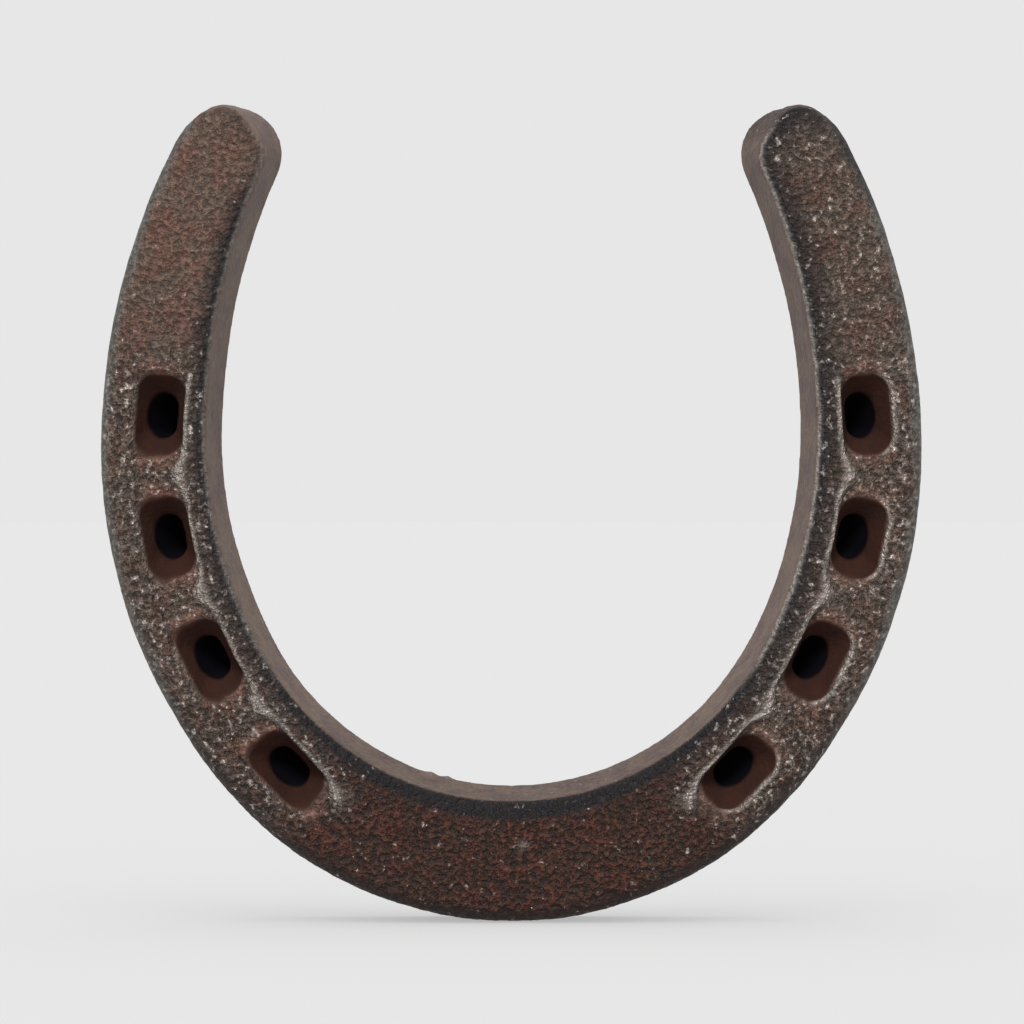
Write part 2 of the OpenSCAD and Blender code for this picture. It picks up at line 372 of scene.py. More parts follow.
@dataclass(frozen=True)
class Crease:
    """The shallow crease down one branch, with the lips and saddles that the mould left along it."""

    line: NailLine
    net: "Net"
    seat: NailSeat = NailSeat()
    slope: float = 0.4 * MM
    saddle_slope: float = 1.4 * MM
    strip: Ramp = Ramp(1.0, 0.0)
    strip_inner_edge: Ramp = Ramp(-5.4 * MM, -4.9 * MM)
    strip_stretch: Stretch = Stretch(Ramp(8 * MM, 7 * MM), Ramp(9 * MM, 8 * MM))
    strip_depth: float = 1.3 * MM
    lip_width: float = 0.26 * MM
    saddle_spread: float = 2.2
    saddle_drop: float = 0.2
    lip_wander: Wobble = Wobble(0.2 * MM, 3 * MM, 13)
    lip_stretch: Stretch = Stretch(Ramp(6.6 * MM, 5.4 * MM), Ramp(9.6 * MM, 8.4 * MM))
    lip_depth: Ramp = Ramp(2.2 * MM, 1.4 * MM)
    # A thin broken line of painted shadow along the crease's outer side.
    groove_shadow_side: float = 4.9 * MM
    groove_shadow_width: float = 0.3 * MM
    groove_shadow_wander: Wobble = Wobble(0.5 * MM, 4 * MM, 37)
    groove_shadow_stretch: Stretch = Stretch(Ramp(7 * MM, 3 * MM), Ramp(4 * MM, -2 * MM))
    groove_shadow_gaps: Wobble = Wobble(1.0, 2 * MM, 41)
    groove_shadow_broken: Ramp = Ramp(-0.4, 0.1)
    # The rubbed zone, which also takes more painted glints.
    rub_and_glint_stretch: Stretch = Stretch(Ramp(16 * MM, 4 * MM), Ramp(12 * MM, 2 * MM))
    rub_and_glint_inner_edge: Ramp = Ramp(-9 * MM, -4 * MM)
    rub_and_glint_outer_edge: Ramp = Ramp(11.5 * MM, 7.5 * MM)
    rub_and_glint_share: float = 0.75
    saddle_width: float = 2.6 * MM
    zone_side: Ramp = Ramp(5.6 * MM, 5.2 * MM)
    zone_stretch: Stretch = Stretch(Ramp(11 * MM, 10 * MM), Ramp(11 * MM, 10 * MM))
    zone_depth: float = 2.5 * MM

    def side(self, along: np.ndarray) -> np.ndarray:
        """Follows the inner side of the crease, which swings out over each saddle."""
        swing = self.line.crease_edge - self.line.saddle_edge
        return -self.line.crease_edge + swing * self.line.saddle(along)

    def fill(self) -> None:
        """Raises the crease's inner strip to the ground face and fills its seats' corners."""
        # These are views of the net's points, so that what is taken off y moves the points.
        x, y, z = self.net.co.T
        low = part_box(CAD_NODE)[0].y
        own = self.line.own(x)
        along, across = self.line.locate(x, z)
        slope = self.slope + self.saddle_slope * self.line.saddle(along)
        share = self.strip((across - self.side(along)) / slope) * self.strip_inner_edge(across)
        share *= self.strip_stretch.share(self.line, along) * (y < low + self.strip_depth) * own
        y -= share * (y - low)
        seat = self.seat
        for hole in range(len(self.line.holes)):
            u, v = self.line.about(hole, x, z)
            v -= self.line.lean
            near = (np.abs(u) < seat.fill_length) & (np.abs(v) < seat.fill_width)
            share = seat.corner_fill(seat.edge(u, v)) * near * own * (y < low + seat.fill_depth)
            y -= share * np.maximum(y - low - seat.corner_depth, 0)
        self.net.write()

    def lips(self) -> np.ndarray:
        """Traces the thin raised lips that the mould left along the seats; their share is painted as
        highlight too.

        Returns:
            How much of the lip's height each point has.
        """
        x, y, z = self.net.co.T
        along, across = self.line.locate(x, z)
        saddle = self.line.saddle(along)
        wander = self.lip_wander.at(self.net.co)
        off = (across - self.side(along) + wander) / (self.lip_width * (1 + self.saddle_spread * saddle))
        lip = self.line.inner_lip * bell(off) * (1 - self.saddle_drop * saddle)
        lip *= self.lip_stretch.share(self.line, along)
        for hole in range(len(self.line.holes)):
            u, v = self.line.about(hole, x, z)
            edge = self.seat.edge(u, v - self.line.lean) + self.seat.lip_inset
            outer = self.seat.lip_side(v) * bell((edge + wander) / self.lip_width)
            lip = np.maximum(lip, self.line.outer_lip * outer)
        return lip * self.lip_depth(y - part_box(CAD_NODE)[0].y)

    def groove_shadow(self) -> np.ndarray:
        """Traces a thin broken line of painted shadow where the outer side of the crease meets the ground
        face.

        Returns:
            How much painted shadow each point takes, from 0 to 1.
        """
        x, y, z = self.net.co.T
        along, across = self.line.locate(x, z)
        off = (across - self.groove_shadow_side + self.groove_shadow_wander.at(self.net.co)) / self.groove_shadow_width
        broken = self.groove_shadow_broken(self.groove_shadow_gaps.at(self.net.co))
        dark = self.line.groove_shadow * bell(off) * self.groove_shadow_stretch.share(self.line, along) * broken
        return dark * self.line.own(x) * (y < 0)

    def rubbed(self) -> np.ndarray:
        """Finds where the branch is rubbed and takes more painted glints: by its seats, and most on the
        saddles between them.

        Returns:
            How rubbed each point is, and so how many painted glints it takes, from 0 to 1.
        """
        x, _, z = self.net.co.T
        along, across = self.line.locate(x, z)
        zone = self.rub_and_glint_share * self.rub_and_glint_inner_edge(across) * self.rub_and_glint_outer_edge(across)
        zone *= self.rub_and_glint_stretch.share(self.line, along)
        saddle = self.line.saddle(along) * bell((across + self.line.saddle_edge) / self.saddle_width)
        return np.maximum(zone, saddle)

    def zone(self) -> np.ndarray:
        """Finds the strip of the ground face that the crease takes up.

        Returns:
            1 in the crease and on its sides, 0 away from them.
        """
        x, y, z = self.net.co.T
        along, across = self.line.locate(x, z)
        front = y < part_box(CAD_NODE)[0].y + self.zone_depth
        return self.zone_side(np.abs(across)) * self.zone_stretch.share(self.line, along) * front


@dataclass(frozen=True)
class Blemish:
    """A flaw in the mould that left one small bump on the casting, or one small nick in it."""

    place: tuple[float, float, float]
    width: float
    height: float
    # How much painted highlight the flaw takes.
    bright: float

    def share(self, net: "Net") -> np.ndarray:
        """Finds the points that the blemish moves."""
        return bell(np.linalg.norm(net.co - np.array(self.place), axis=1) / self.width)


@dataclass
class Skin:
    """Which finish each point of the casting takes, from where it lies and which way it faces, painted
    light and shade among them.

    Ramps named tilt take how squarely the skin faces front or sideways, from -1 to 1. Ramps named
    rise take the height above the ground, and those named drop the distance below the heels.
    """

    net: "Net"
    creases: list[Crease]
    blemishes: tuple[Blemish, ...]
    half: float = 0.5
    normal_rings: int = 4
    heart_height: float = 0.58
    tip_drop: Ramp = Ramp(14 * MM, 4 * MM)
    tip_share: float = 0.8
    side_tilt: Ramp = Ramp(0.12, 0.3)
    wall_tilt: Ramp = Ramp(0.6, 0.45)
    bevel_tilt: Ramp = Ramp(0.45, 0.6)
    bevel_end_tilt: Ramp = Ramp(0.985, 0.95)
    rim_tilt: Ramp = Ramp(0.97, 0.6)
    toe_rise: Ramp = Ramp(42 * MM, 18 * MM)
    toe_edge: Wobble = Wobble(3 * MM, 9 * MM, 23)
    bloom_least: float = 0.55
    bloom_patches: Wobble = Wobble(1.0, 2.4 * MM, 47)
    bloom_spread: Ramp = Ramp(-0.3, 0.3)
    bloom_tilt: Ramp = Ramp(0.2, 0.5)
    # The rubbed zone, which also takes more painted glints.
    rub_and_glint_tilt: Ramp = Ramp(0, 0.5)
    outer_wall_tilt: float = 0.4
    rim_width: Ramp = Ramp(2.6 * MM, 1.2 * MM)
    rim_edge: Wobble = Wobble(0.4 * MM, 3 * MM, 31)
    rim_front_tilt: Ramp = Ramp(-0.2, 0.2)
    rim_at_toe: float = 0.85
    # A painted highlight along the inner wall's edge, weaker on the left branch.
    left_edge_highlight: float = 0.45
    edge_highlight_sides: Ramp = Ramp(-6 * MM, 14 * MM)
    edge_highlight: float = 0.75
    edge_highlight_gap: float = 0.5 * MM
    lip_width: float = 0.36 * MM
    edge_highlight_tilt: Ramp = Ramp(0.1, 0.4)
    edge_highlight_rise: Ramp = Ramp(34 * MM, 44 * MM)
    edge_highlight_drop: Ramp = Ramp(2.5 * MM, 7 * MM)
    right_side: Ramp = Ramp(20 * MM, 40 * MM)
    heel_drop: Ramp = Ramp(18 * MM, 9 * MM)
    # A painted band of shade in the bevel's colour beside the inner wall, wider on the right branch.
    shadow_band_start: float = 0.8 * MM
    shadow_band_reach: float = 4.4 * MM
    shadow_band_on_right: float = 0.5
    shadow_band_fade: Ramp = Ramp(1.0, 0.0)
    shadow_band_edge: Wobble = Wobble(1.0 * MM, 2.6 * MM, 29)
    shadow_band_tilt: Ramp = Ramp(0.3, 0.6)
    # Also sets how dark the right heel's blackened rim and tip are.
    shadow_band_and_scorch_share: float = 0.85
    left_heel_lightening: float = 0.75
    # The right heel's face is rubbed and takes more painted glints.
    heel_rub_and_glint_share: float = 0.5
    heel_rub_and_glint_side: Ramp = Ramp(25 * MM, 35 * MM)
    heel_rub_and_glint_rise: Ramp = Ramp(60 * MM, 74 * MM)
    heel_rub_and_glint_tilt: Ramp = Ramp(0.6, 0.9)
    scorch_drop: Ramp = Ramp(22 * MM, 8 * MM)
    scorch_edge: Wobble = Wobble(2.5 * MM, 4 * MM, 43)
    scorch_tilt: Ramp = Ramp(-0.2, 0.3)
    scorched_rim: float = 0.9
    scorched_tip_drop: Ramp = Ramp(9 * MM, 3 * MM)
    scorched_tip_wall: float = 0.6
    # Painted shade on the toe's down-facing outer edge.
    toe_edge_shade_share: float = 0.5
    toe_edge_shade_tilt: Ramp = Ramp(-0.1, 0.3)
    toe_edge_shade_end_tilt: Ramp = Ramp(0.99, 0.9)
    # Painted shade on the inner wall's back edge and on its skin at the toe.
    back_edge_shade: Ramp = Ramp(0.9 * MM, 0.4 * MM)
    back_edge_shade_share: float = 0.8
    toe_wall_shade_share: float = 0.22
    shade_gain: float = 4
    shares: dict[Mask, np.ndarray] = field(init=False)
    lips: np.ndarray = field(init=False)
    across: np.ndarray = field(init=False)
    rise: np.ndarray = field(init=False)
    drop: np.ndarray = field(init=False)
    depth: np.ndarray = field(init=False)
    depth_left: np.ndarray = field(init=False)
    front: np.ndarray = field(init=False)
    inner: np.ndarray = field(init=False)
    outer: np.ndarray = field(init=False)

    def __post_init__(self) -> None:
        """Works out which way the skin faces, and then the regions, each over those before it."""
        low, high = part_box(CAD_NODE)
        self.across, y, z = self.net.co.T
        self.rise, self.drop = z - low.z, high.z - z
        self.depth, self.depth_left = y - low.y, high.y - y
        normal = self.net.smooth_normals(self.normal_rings)
        heart = self.heart_height * (high.z - low.z)
        inward = np.stack([-self.across, np.maximum(heart - self.rise, 0.0)])
        inward /= np.linalg.norm(inward, axis=0) + TINY
        tip = self.tip_share * self.tip_drop(self.drop)
        facing = normal[:, 0] * inward[0] + normal[:, 2] * (inward[1] + tip)
        self.front = -normal[:, 1]
        self.inner, self.outer = self.side_tilt(facing), self.side_tilt(-facing)
        self.lips = sum(crease.lips() for crease in self.creases)
        self.shares = {mask: np.zeros(len(self.rise)) for mask in Mask}
        self.lay_sides()
        for crease in self.creases:
            self.lay_seats(crease)
        self.lay_rim()
        wall_gap = self.net.distance(self.shares[Mask.WALL] > self.half)
        self.lay_painted_highlights(wall_gap)
        self.lay_shadow_band(wall_gap)
        self.lay_heels()
        self.shade_walls()

    def lay(self, mask: Mask, values: np.ndarray) -> None:
        """Adds to a region, which keeps the higher number at each point."""
        self.shares[mask] = np.maximum(self.shares[mask], values)

    def lay_sides(self) -> None:
        """Finds the inner wall, the bevel, the outer rim and the toe."""
        self.lay(Mask.WALL, self.inner * self.wall_tilt(self.front))
        self.lay(Mask.BEVEL, self.inner * self.bevel_tilt(self.front) * self.bevel_end_tilt(self.front))
        self.lay(Mask.RIM, self.outer * self.rim_tilt(self.front))
        self.lay(Mask.TOE, self.toe_rise(self.rise + self.toe_edge.at(self.net.co)))

    def lay_seats(self, crease: Crease) -> None:
        """Finds a branch's seats and holes, the rust about their ends and its rubbed iron.

        Args:
            crease: The branch's crease.
        """
        line, seat = crease.line, crease.seat
        x, _, z = self.net.co.T
        own = line.own(x)
        patches = self.bloom_spread(self.bloom_patches.at(self.net.co))
        patchy = self.bloom_least + (1 - self.bloom_least) * patches
        for hole in range(len(line.holes)):
            u, v = line.about(hole, x, z)
            edge = seat.edge(u, v - line.lean) - line.flare * seat.flare_start(v)
            within = seat.mouth(edge) * own * (self.depth < seat.back_skin)
            self.lay(Mask.POCKET, within * seat.wall_depth(self.depth))
            self.lay(Mask.BORE, within * seat.hole_edge(seat.oval(u, v)) * seat.hole_depth(self.depth))
            self.lay(Mask.BORE, within * seat.bore_depth(self.depth))
            bloom = patchy * own * seat.halo(edge) * seat.halo_side(np.abs(v - line.lean))
            self.lay(Mask.BLOOM, bloom * self.bloom_tilt(self.front))
        # Rubbed iron, which also takes more painted glints.
        self.lay(Mask.BURNISH_AND_GLINT, crease.rubbed() * own * self.rub_and_glint_tilt(self.front))

    def lay_rim(self) -> None:
        """Clears the creases of the side regions, and carries the rim onto the ground face."""
        crease = np.max([crease.zone() for crease in self.creases], axis=0)
        flat = (1 - self.shares[Mask.POCKET]) * (1 - crease)
        for mask in (Mask.WALL, Mask.BEVEL, Mask.RIM):
            self.shares[mask] *= flat
        gap = self.net.distance((self.outer > self.half) & (self.front < self.outer_wall_tilt))
        rim = self.rim_width(gap + self.rim_edge.at(self.net.co)) * self.rim_front_tilt(self.front)
        self.lay(Mask.RIM, rim * flat)
        self.shares[Mask.RIM] *= 1 - self.rim_at_toe * self.shares[Mask.TOE]

    def lay_painted_highlights(self, wall_gap: np.ndarray) -> None:
        """Paints highlights: along the seats' raised lips, along the inner wall's edge, weaker on the left
        branch, and on the blemishes.

        Args:
            wall_gap: Distance of each point from the inner wall.
        """
        self.lay(Mask.EDGE, self.lips)
        # A painted highlight along the inner wall's edge.
        lip = self.edge_highlight * bell((wall_gap - self.edge_highlight_gap) / self.lip_width) * (wall_gap > 0)
        lip *= self.left_edge_highlight + (1 - self.left_edge_highlight) * self.edge_highlight_sides(self.across)
        lip *= self.edge_highlight_tilt(self.front) * self.edge_highlight_rise(self.rise) * self.edge_highlight_drop(self.drop)
        self.lay(Mask.EDGE, lip)
        for flaw in self.blemishes:
            self.lay(Mask.EDGE, flaw.bright * flaw.share(self.net))

    def lay_shadow_band(self, wall_gap: np.ndarray) -> None:
        """Paints a band of shade in the bevel's colour onto the ground face beside it, reaching farther on
        the right branch.

        Args:
            wall_gap: Distance of each point from the inner wall.
        """
        right = self.right_side(self.across)
        reach = self.shadow_band_reach * (1 + self.shadow_band_on_right * right) - self.shadow_band_start
        ragged = wall_gap + self.shadow_band_edge.at(self.net.co) - self.shadow_band_start
        # A painted band of shade, ragged at its edge.
        shadow_band = self.shadow_band_and_scorch_share * self.shadow_band_fade(ragged / reach) * self.shadow_band_tilt(self.front)
        self.lay(Mask.BEVEL, shadow_band * (1 - self.shares[Mask.WALL]) * (1 - self.shares[Mask.POCKET]))
        # Less of the bevel's colour and of its painted shade on the left heel.
        self.shares[Mask.BEVEL] *= 1 - self.left_heel_lightening * self.heel_drop(self.drop) * (1 - right)

    def lay_heels(self) -> None:
        """Wears the right heel's face, where it also takes more painted glints, blackens its rim and tip,
        and paints shade on the toe's down-facing outer edge.
        """
        right = self.right_side(self.across)
        # The right heel's rubbed face, which takes more painted glints.
        worn = self.heel_rub_and_glint_share * self.heel_rub_and_glint_side(self.across)
        self.lay(Mask.BURNISH_AND_GLINT, worn * self.heel_rub_and_glint_rise(self.rise) * self.heel_rub_and_glint_tilt(self.front))
        scorched = self.scorch_drop(self.drop - self.scorch_edge.at(self.net.co)) * right
        rim = self.scorched_rim * self.shares[Mask.RIM] * self.scorch_tilt(self.front)
        tip = self.scorched_tip_drop(self.drop)
        self.lay(Mask.BEVEL, self.shadow_band_and_scorch_share * scorched * np.maximum(rim, self.shares[Mask.WALL] * tip))
        # Painted shade on the toe's down-facing outer edge.
        toe_edge_shade = self.outer * self.toe_edge_shade_tilt(self.front) * self.toe_edge_shade_end_tilt(self.front)
        self.lay(Mask.BEVEL, self.toe_edge_shade_share * self.shares[Mask.TOE] * toe_edge_shade)
        self.shares[Mask.WALL] *= 1 - self.scorched_tip_wall * self.heel_drop(self.drop) * right * tip

    def shade_walls(self) -> None:
        """Paints shade in the bevel's colour on the inner wall's back edge, and on some of its up-facing
        skin at the toe.
        """
        # Painted shade on the inner wall's back edge and on its up-facing skin at the toe.
        back_edge_shade = self.back_edge_shade_share * self.inner * self.back_edge_shade(self.depth_left)
        toe = self.toe_wall_shade_share * self.shares[Mask.TOE]
        shaded = self.shares[Mask.WALL] * np.maximum(back_edge_shade, toe)
        self.lay(Mask.BEVEL, np.minimum(self.shade_gain * shaded, 1))
        self.shares[Mask.WALL] -= shaded


@dataclass
class Casting:
    """The iron shoe: one sand casting with a creased ground face, eight nail seats and a worn skin."""

    pitch: float = 0.46 * MM
    smoothing: int = 2
    waves: Wobble = Wobble(0.16 * MM, 11.0 * MM, 3)
    lumps: Wobble = Wobble(0.07 * MM, 2.6 * MM, 5)
    lumps_least: float = 0.3
    grains: SandGrains = SandGrains()
    lip_height: float = 0.2 * MM
    cored: float = 0.85
    bevel_smooth: float = 0.45
    rim_smooth: float = 0.6
    rough_least: float = 0.75
    rubbed_rough: float = 0.45
    # How the painted shade in dips grows as a point sinks below its neighbours.
    crevice_shade_curve: Ramp = Ramp(0.02, 0.22)
    blemishes: tuple[Blemish, ...] = (
        Blemish((-12.4 * MM, 3.2 * MM, 21.9 * MM), width=1.0 * MM, height=0.55 * MM, bright=0.2),
        Blemish((-9.8 * MM, 3.8 * MM, 21.4 * MM), width=0.7 * MM, height=0.4 * MM, bright=0.2),
        Blemish((1.8 * MM, -5.0 * MM, 11.9 * MM), width=0.7 * MM, height=0.3 * MM, bright=0.4),
        Blemish((-45.4 * MM, -1.0 * MM, 77.4 * MM), width=0.5 * MM, height=-0.4 * MM, bright=0.0),
    )

    def nail_lines(self) -> list[NailLine]:
        """Sets out the nail lines of the two branches, which the mould made a little different, and which
        take different amounts of painted highlight and shadow.
        """
        left = {"lean": 0.2 * MM, "flare": 0.7 * MM, "crease_edge": 3.7 * MM, "saddle_edge": 2.5 * MM}
        right = {"lean": 0.95 * MM, "flare": 0.0, "crease_edge": 3.2 * MM, "saddle_edge": 1.8 * MM}
        return [
            NailLine(Side.LEFT, groove_shadow=0.8, inner_lip=0.85, outer_lip=0.15, **left),
            NailLine(Side.RIGHT, groove_shadow=0.3, inner_lip=1.0, outer_lip=0.85, **right),
        ]

    def remeshed(self) -> bpy.types.Object:
        """Copies the CAD solid and covers it with an even net of small four-sided faces.

        Returns:
            The new object, linked to the scene.
        """
        mesh = frame["nodes"][CAD_NODE].data.copy()
        piece = bpy.data.objects.new("cast_iron_shoe", mesh)
        bpy.context.scene.collection.objects.link(piece)
        remesh = piece.modifiers.new("even_net", "REMESH")
        remesh.mode = "VOXEL"
        remesh.voxel_size = self.pitch
        graph = bpy.context.evaluated_depsgraph_get()
        net = bpy.data.meshes.new_from_object(piece.evaluated_get(graph))
        piece.modifiers.clear()
        piece.data = net
        net.materials.clear()
        return piece

    def build(self) -> bpy.types.Object:
        """Makes the casting's mesh, with its grain, its lips and the regions that its finishes take.

        Returns:
            The finished piece, without a material.
        """
        piece = self.remeshed()
        net = Net(piece.data)
        net.relax(self.smoothing)
        creases = [Crease(line, net) for line in self.nail_lines()]
        for crease in creases:
            crease.fill()
        skin = Skin(net, creases, self.blemishes)
        shares = skin.shares
        net.push(self.relief(skin))
        # Painted shade where the surface dips, and painted shadow lines beside the creases.
        groove_shadows = np.max([crease.groove_shadow() for crease in creases], axis=0)
        crevice_shade = self.crevice_shade_curve(-net.curvature(self.pitch))
        shares[Mask.CREVICE_SHADE] = np.maximum(crevice_shade, groove_shadows * (1 - shares[Mask.POCKET]))
        net.store({mask.value: values for mask, values in shares.items()})
        log.info("casting: %d points, %d faces", len(net.co), len(piece.data.polygons))
        return piece

    def relief(self, skin: Skin) -> np.ndarray:
        """Works out how far the cast skin stands out from the CAD surface.

        Args:
            skin: The regions, which say where the skin is smooth.

        Returns:
            The height at each point, in metres along its normal.
        """
        points, shares = skin.net.co, skin.shares
        smooth = self.cored * (shares[Mask.WALL] + shares[Mask.POCKET]) + shares[Mask.BORE]
        rough = 1 - np.clip(smooth, 0, 1)
        rough *= (1 - self.bevel_smooth * shares[Mask.BEVEL]) * (1 - self.rim_smooth * shares[Mask.RIM])
        rough *= self.rough_least + self.rubbed_rough * shares[Mask.BURNISH_AND_GLINT]
        lumpy = self.lumps_least + (1 - self.lumps_least) * rough
        height = self.waves.at(points) * (1 - shares[Mask.POCKET])
        height += self.lumps.at(points) * lumpy + self.grains.at(points) * rough
        height += self.lip_height * skin.lips
        for flaw in self.blemishes:
            height += flaw.height * flaw.share(skin.net)
        return height

    def dress(self, piece: bpy.types.Object, material: bpy.types.Material) -> None:
        """Gives the piece its material and fixes it to the frame.

        Args:
            piece: The casting.
            material: Its patinated iron.
        """
        piece.data.materials.append(material)
        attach(piece, "root")
        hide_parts(CAD_NODE)


class Net:
    """A mesh held as arrays, so that whole regions can be moved and measured at once."""

    def __init__(self, mesh: bpy.types.Mesh) -> None:
        """Reads the mesh.

        Args:
            mesh: The mesh to work on, which push and store write back to.
        """
        self.mesh = mesh
        count = len(mesh.vertices)
        flat = np.zeros(count * 3, np.float32)
        mesh.vertices.foreach_get("co", flat)
        self.co = flat.reshape(-1, 3).astype(float)
        ends = np.zeros(len(mesh.edges) * 2, np.int32)
        mesh.edges.foreach_get("vertices", ends)
        self.ends = ends.reshape(-1, 2)
        self.degree = np.bincount(self.ends.ravel(), minlength=count).astype(float)

    def neighbours(self, values: np.ndarray) -> np.ndarray:
        """Averages values over each point's neighbours.

        Args:
            values: One row for each point.

        Returns:
            The neighbours' mean at each point, in the same form.
        """
        table = values.reshape(len(values), -1)
        a, b = self.ends.T
        count = len(table)
        sums = [
            np.bincount(a, table[b, i], count) + np.bincount(b, table[a, i], count)
            for i in range(table.shape[1])
        ]
        return (np.stack(sums, axis=1) / self.degree[:, None]).reshape(values.shape)

    def relax(self, rounds: int) -> None:
        """Softens the net's small steps, as the mould softens every edge.

        Args:
            rounds: How many times each point moves towards its neighbours and part of the way back.
        """
        for _ in range(rounds):
            for share in (0.5, -0.52):
                self.co += share * (self.neighbours(self.co) - self.co)
        self.write()

    def write(self) -> None:
        """Puts the points back into the mesh."""
        self.mesh.vertices.foreach_set("co", self.co.astype(np.float32).ravel())
        self.mesh.update()

    def normals(self) -> np.ndarray:
        """Gives each point's normal."""
        flat = np.zeros(len(self.co) * 3, np.float32)
        self.mesh.vertex_normals.foreach_get("vector", flat)
        return flat.reshape(-1, 3).astype(float)

    def smooth_normals(self, rounds: int) -> np.ndarray:
        """Averages the normals over a few rings of neighbours.

        Args:
            rounds: How many rings.

        Returns:
            Unit normals, one row for each point.
        """
        normal = self.normals()
        for _ in range(rounds):
            normal = 0.5 * normal + 0.5 * self.neighbours(normal)
        return normal / (np.linalg.norm(normal, axis=1, keepdims=True) + 1e-9)

    def push(self, height: np.ndarray) -> None:
        """Moves each point along its normal."""
        self.co += self.smooth_normals(2) * height[:, None]
        self.write()

    def distance(self, seeds: np.ndarray) -> np.ndarray:
        """Measures how far each point is from the nearest of some points.

        Args:
            seeds: True at the points to measure from.

        Returns:
            The distance for each point, in metres.
        """
        places = self.co[seeds]
        tree = kdtree.KDTree(len(places))
        for i, place in enumerate(places):
            tree.insert(place, i)
        tree.balance()
        return np.array([tree.find(place)[2] for place in self.co])

    def curvature(self, pitch: float) -> np.ndarray:
        """Measures how far each point stands above its neighbours."""
        lift = np.sum((self.co - self.neighbours(self.co)) * self.smooth_normals(1), axis=1)
        return lift / pitch

    def store(self, layers: dict[str, np.ndarray]) -> None:
        """Keeps numbers on the mesh for the material, and makes the shading smooth.

        Args:
            layers: Values for each point, by attribute name.
        """
        for name, values in layers.items():
            layer = self.mesh.attributes.new(name, "FLOAT", "POINT")
            layer.data.foreach_set("value", np.clip(values, 0, 1).astype(np.float32))
        self.mesh.shade_smooth()


# A mix node's sockets: 0 is how much of the second counts, 2 and 3 are numbers, 6 and 7 are colours.
COLOUR_OUTPUT = 2
COLOURS = {"data_type": "RGBA"}
SMOOTH = {"interpolation_type": "SMOOTHSTEP"}


def add_node(
    tree: bpy.types.NodeTree, kind: str, inputs: dict[Any, Any], output: Any = 0, **settings: Any
) -> bpy.types.NodeSocket:
    """Adds a node to a tree with its settings and links.

    Args:
        tree: The node tree.
        kind: The node's type, such as "Mix".
        inputs: A value for each input socket, by name or number. A socket as the value is linked.
        output: The output socket that is wanted, by name or number.
        **settings: The node's own properties, by name.

    Returns:
        The wanted output socket.
    """
    made = tree.nodes.new(f"ShaderNode{kind}")
    for name, value in settings.items():
        setattr(made, name, value)
    for key, value in inputs.items():
        if isinstance(value, bpy.types.NodeSocket):
            tree.links.new(value, made.inputs[key])
        else:
            made.inputs[key].default_value = value
    return made.outputs[output]


@dataclass(frozen=True)
class Speckle:
    """A cloudy pattern: the width of its patches, and how many finer layers lie over it, how strongly."""

    width: float
    detail: float
    rough: float

    def inputs(self, place: Any) -> dict[str, Any]:
        """Gives the pattern's settings for a noise node, at the places of a socket."""
        return {"Vector": place, "Scale": 1 / self.width, "Detail": self.detail, "Roughness": self.rough}


@dataclass(frozen=True)
class Finish:
    """How one region of the casting looks: its two colours and how it takes the light."""

    colour: str
    stain: str
    roughness: float
    metallic: float
    grain: float


# Sand-cast grey iron with a brown wax patina: rough, earthy and uneven.
SAND_FACE = Finish("#635145", "#694c41", 0.5, 0.2, 0.72)
# The toe: the same grain, darker and redder towards the bottom.
DARK_TOE = Finish("#452c21", "#4f2b22", 0.52, 0.15, 1.1)
# Around the nail creases, where rubbing has thinned the wax to greyer iron. The same zone takes more
# painted glints.
RUBBED_IRON = Finish("#5e544d", "#5c4a40", 0.42, 0.35, 1.0)
# About the ends of the seats, where rust creeps out from the nail holes: a soft red halo.
RUST_BLOOM = Finish("#6d5348", "#745246", 0.46, 0.25, 0.7)
# The same iron where the mould's loose core left it smooth and paler, with a thin taupe bloom.
CORE_WALL = Finish("#69594e", "#5d4d4a", 0.58, 0.15, 0.2)
# The bevel, coloured blue-black beside the brown. Its mask also paints this colour as shade beside the
# inner wall, on the toe's down-facing edge and on the inner wall's back edge and toe, and blackens the
# right heel's rim and tip.
BLUE_BLACK = Finish("#0c0d15", "#110f13", 0.6, 0.0, 0.9)
# The seats, which nobody handles: smooth red-brown rust under old oil, with no shine.
NAIL_POCKET = Finish("#2d1b16", "#321d17", 0.85, 0.0, 0.2)
# The outer rim, where handling has thinned the wax to a neutral grey.
HANDLED_RIM = Finish("#64615c", "#615953", 0.5, 0.2, 0.7)
# Inside the holes: painted black, as the shade deep in a hole, with no shine. black scale that throws back
# no light.
BORE_PAINTED_SHADE = Finish("#0c0b0f", "#0d0c10", 0.9, 0.0, 0.0)


